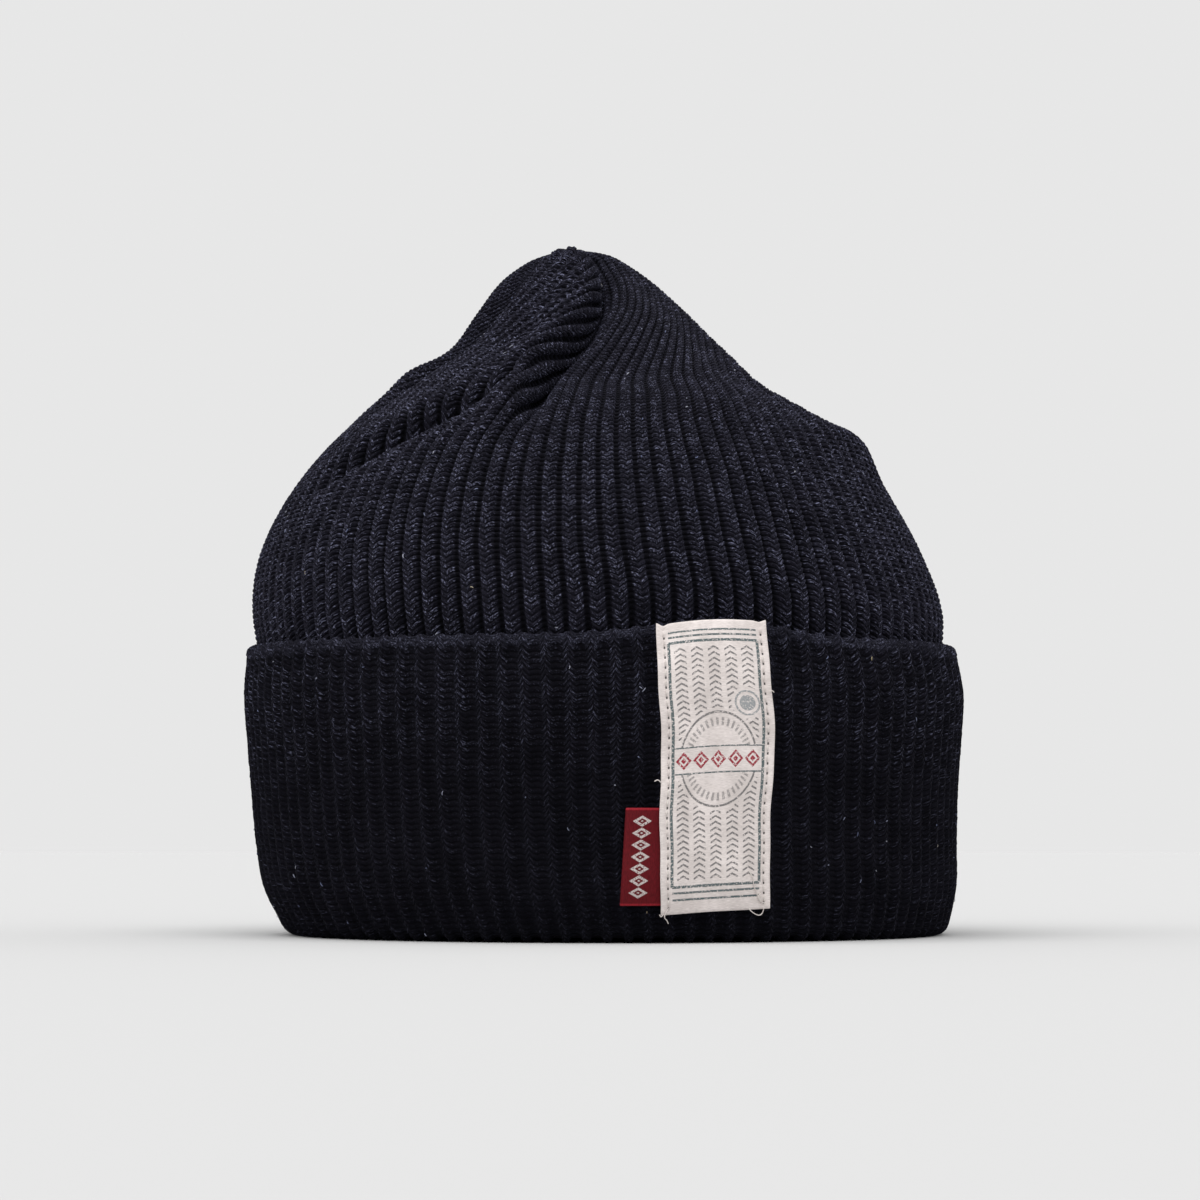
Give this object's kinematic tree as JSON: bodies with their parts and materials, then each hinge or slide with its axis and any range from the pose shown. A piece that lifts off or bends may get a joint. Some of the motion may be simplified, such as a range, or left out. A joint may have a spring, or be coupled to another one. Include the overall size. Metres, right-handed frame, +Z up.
{
  "type": "beanie",
  "caption": "Rib-knit beanie with a wide turned-up cuff, a crown drawn together in darts, a woven front label and a small folded side tab.",
  "frame": {"origin": "middle of the hat's box, in the plane that the rim stands on", "axes": "+Z up from the rim to the crown's top, -Y the front with the label, +X the viewer's right"},
  "size_m": [0.1888, 0.2087, 0.1825],
  "materials": {
    "indigo_knit": "matt rib-knit cotton with pale flecks",
    "cream_ribbon": "woven cotton tape with grey-green and red threads",
    "red_ribbon": "woven satin tape"
  },
  "bodies": {
    "root": {"knit_cap": "indigo_knit", "woven_label": "cream_ribbon", "side_tab": "red_ribbon"}
  },
  "joints": []
}
